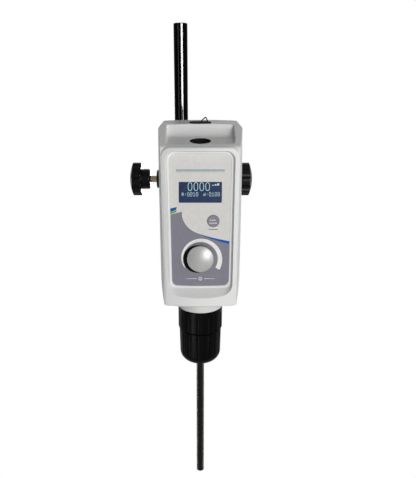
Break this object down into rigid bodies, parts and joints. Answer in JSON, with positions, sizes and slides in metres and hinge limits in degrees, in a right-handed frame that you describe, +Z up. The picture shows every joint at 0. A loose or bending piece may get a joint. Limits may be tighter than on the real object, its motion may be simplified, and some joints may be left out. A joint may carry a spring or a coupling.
{
  "type": "overhead stirrer",
  "caption": "Overhead laboratory stirrer: leaning control head with keyless chuck, hollow spindle and stirring shaft, held on a mast by a bar and a cross clamp.",
  "frame": {"origin": "middle of the foot stud's seat, where a stand's base meets the shoulder under the mast", "axes": "+Z up the mast, +X to the operator's right, the control panel faces -Y"},
  "size_m": [0.151, 0.225, 0.4694],
  "materials": {
    "steel": "turned",
    "screw_steel": "zinc plated",
    "mast_black": "satin black",
    "clamp_metal": "black, fine texture",
    "brass": "turned",
    "knob_black": "moulded",
    "housing_white": "moulded, fine satin",
    "panel_film": "printed film",
    "display_glass": "gloss window",
    "display_frame": "moulded",
    "circuit_board": "coated board",
    "switch_black": "moulded",
    "button_grey": "rubber touch",
    "encoder_metal": "pressed",
    "dial_black": "moulded",
    "dial_silver": "satin",
    "boss_grey": "fine satin",
    "bearing_steel": "ground",
    "rubber_black": "moulded",
    "spring_steel": "blued",
    "gear_plastic": "moulded",
    "frame_aluminium": "machined",
    "motor_metal": "plated",
    "stator_core": "wound core",
    "rotor_core": "ground",
    "chuck_black": "moulded",
    "jaw_steel": "hardened",
    "shaft_steel": "ground and polished",
    "power_components": "mixed"
  },
  "bodies": {
    "foot": {"mast_foot_stud": "steel"},
    "mast": {"mast_rod": "mast_black"},
    "clamp": {"clamp_body": "clamp_metal"},
    "left_pad": {"left_clamp_pad": "brass"},
    "left_screw": {"left_clamp_screw": "screw_steel", "left_star_knob": "knob_black"},
    "right_pad": {"right_clamp_pad": "brass"},
    "right_screw": {"right_clamp_screw": "screw_steel", "right_star_knob": "knob_black"},
    "bar": {"extension_bar": "steel"},
    "head": {"bar_flange": "steel", "bar_flange_screws": "screw_steel", "front_shell": "housing_white", "rear_shell": "housing_white", "shell_screws": "screw_steel", "control_panel": "panel_film", "display_window": "display_glass", "display_module": "display_frame", "display_board": "circuit_board", "mode_switch": "switch_black", "encoder_body": "encoder_metal", "control_board": "circuit_board", "spindle_boss": "boss_grey", "lower_bearing": "bearing_steel", "upper_bearing": "bearing_steel", "spindle_seal": "rubber_black", "drive_frame": "frame_aluminium", "motor_case": "motor_metal", "motor_bearings": "bearing_steel", "motor_stator": "stator_core", "rocker_frame": "switch_black", "power_jack": "switch_black", "power_board": "circuit_board", "power_parts": "power_components"},
    "spindle": {"hollow_spindle": "steel", "spindle_gear": "gear_plastic", "spindle_retainer": "spring_steel", "chuck_core": "steel", "chuck_rear_sleeve": "chuck_black"},
    "sleeve": {"chuck_front_sleeve": "chuck_black", "chuck_nut": "steel"},
    "jaw_1": {"chuck_jaw_1": "jaw_steel"},
    "jaw_2": {"chuck_jaw_2": "jaw_steel"},
    "jaw_3": {"chuck_jaw_3": "jaw_steel"},
    "shaft": {"stirring_shaft": "shaft_steel"},
    "rotor": {"motor_shaft": "steel", "motor_rotor": "rotor_core", "motor_pinion": "brass"},
    "encoder_push": {"encoder_plunger": "encoder_metal"},
    "knob": {"encoder_spindle": "steel", "knob_skirt": "dial_black", "knob_cap": "dial_silver"},
    "button": {"mode_button": "button_grey"},
    "cap": {"outlet_cap": "rubber_black"},
    "rocker": {"power_rocker": "switch_black"}
  },
  "joints": [
    {"name": "mast_swivel", "type": "hinge", "parent": "foot", "child": "mast", "pos_m": [0, 0, 0.003], "axis": [0, 0, 1], "range_deg": [-180, 180]},
    {"name": "clamp_height", "type": "slide", "parent": "mast", "child": "clamp", "axis": [0, 0, 1], "range_m": [-0.055, 0.15]},
    {"name": "left_pad_travel", "type": "slide", "parent": "clamp", "child": "left_pad", "axis": [-1, 0, 0], "range_m": [0, 0.0025]},
    {"name": "left_screw_turn", "type": "hinge", "parent": "left_pad", "child": "left_screw", "pos_m": [-0.03, 0, 0.0805], "axis": [-1, 0, 0], "range_deg": [0, 720]},
    {"name": "right_pad_travel", "type": "slide", "parent": "clamp", "child": "right_pad", "axis": [1, 0, 0], "range_m": [0, 0.0025]},
    {"name": "right_screw_turn", "type": "hinge", "parent": "right_pad", "child": "right_screw", "pos_m": [0.0527, 0, 0.0805], "axis": [1, 0, 0], "range_deg": [0, 720]},
    {"name": "bar_reach", "type": "slide", "parent": "clamp", "child": "bar", "axis": [0, 1, 0], "range_m": [-0.008, 0.055]},
    {"name": "head_roll", "type": "hinge", "parent": "bar", "child": "head", "pos_m": [0.0227, -0.1, 0.0805], "axis": [0, 1, 0], "range_deg": [-90, 90]},
    {"name": "spindle_spin", "type": "hinge", "parent": "head", "child": "spindle", "pos_m": [0.0227, -0.169, 0], "axis": [0, 0, 1], "continuous": true},
    {"name": "rotor_spin", "type": "hinge", "parent": "head", "child": "rotor", "pos_m": [0.0227, -0.13275, 0], "axis": [0, 0, 1], "continuous": true},
    {"name": "chuck_sleeve_turn", "type": "hinge", "parent": "spindle", "child": "sleeve", "pos_m": [0.0227, -0.169, -0.05], "axis": [0, 0, 1], "range_deg": [0, 720]},
    {"name": "jaw_1_travel", "type": "slide", "parent": "spindle", "child": "jaw_1", "axis": [0, 0.2756, 0.9613], "range_m": [0, 0.0034]},
    {"name": "jaw_2_travel", "type": "slide", "parent": "spindle", "child": "jaw_2", "axis": [-0.2387, -0.1378, 0.9613], "range_m": [0, 0.0034]},
    {"name": "jaw_3_travel", "type": "slide", "parent": "spindle", "child": "jaw_3", "axis": [0.2387, -0.1378, 0.9613], "range_m": [0, 0.0034]},
    {"name": "shaft_slide", "type": "slide", "parent": "spindle", "child": "shaft", "axis": [0, 0, 1], "range_m": [-0.08, 0.06]},
    {"name": "knob_push", "type": "slide", "parent": "head", "child": "encoder_push", "axis": [0, 0.9946, -0.1037], "range_m": [0, 0.0006], "stiffness_N_per_m": 1200},
    {"name": "knob_turn", "type": "hinge", "parent": "encoder_push", "child": "knob", "pos_m": [0.0227, -0.19238, 0.04513], "axis": [0, -0.9946, 0.1037], "continuous": true},
    {"name": "mode_button_push", "type": "slide", "parent": "head", "child": "button", "axis": [0, 0.9946, -0.1037], "range_m": [0, 0.0005], "stiffness_N_per_m": 800},
    {"name": "outlet_cap_lift", "type": "slide", "parent": "head", "child": "cap", "axis": [0, 0, 1], "range_m": [0, 0.012]},
    {"name": "power_rocker_tilt", "type": "hinge", "parent": "head", "child": "rocker", "pos_m": [0.0427, -0.0948, 0.0272], "axis": [1, 0, 0], "range_deg": [0, 16]}
  ],
  "couplings": [
    {"joint": "left_screw_turn", "follows": "left_pad_travel", "rad_per_m": 5026.5},
    {"joint": "right_screw_turn", "follows": "right_pad_travel", "rad_per_m": 5026.5},
    {"joint": "rotor_spin", "follows": "spindle_spin", "ratio": -1.9},
    {"joint": "jaw_1_travel", "follows": "chuck_sleeve_turn", "m_per_rad": 0.00027056},
    {"joint": "jaw_2_travel", "follows": "chuck_sleeve_turn", "m_per_rad": 0.00027056},
    {"joint": "jaw_3_travel", "follows": "chuck_sleeve_turn", "m_per_rad": 0.00027056}
  ]
}
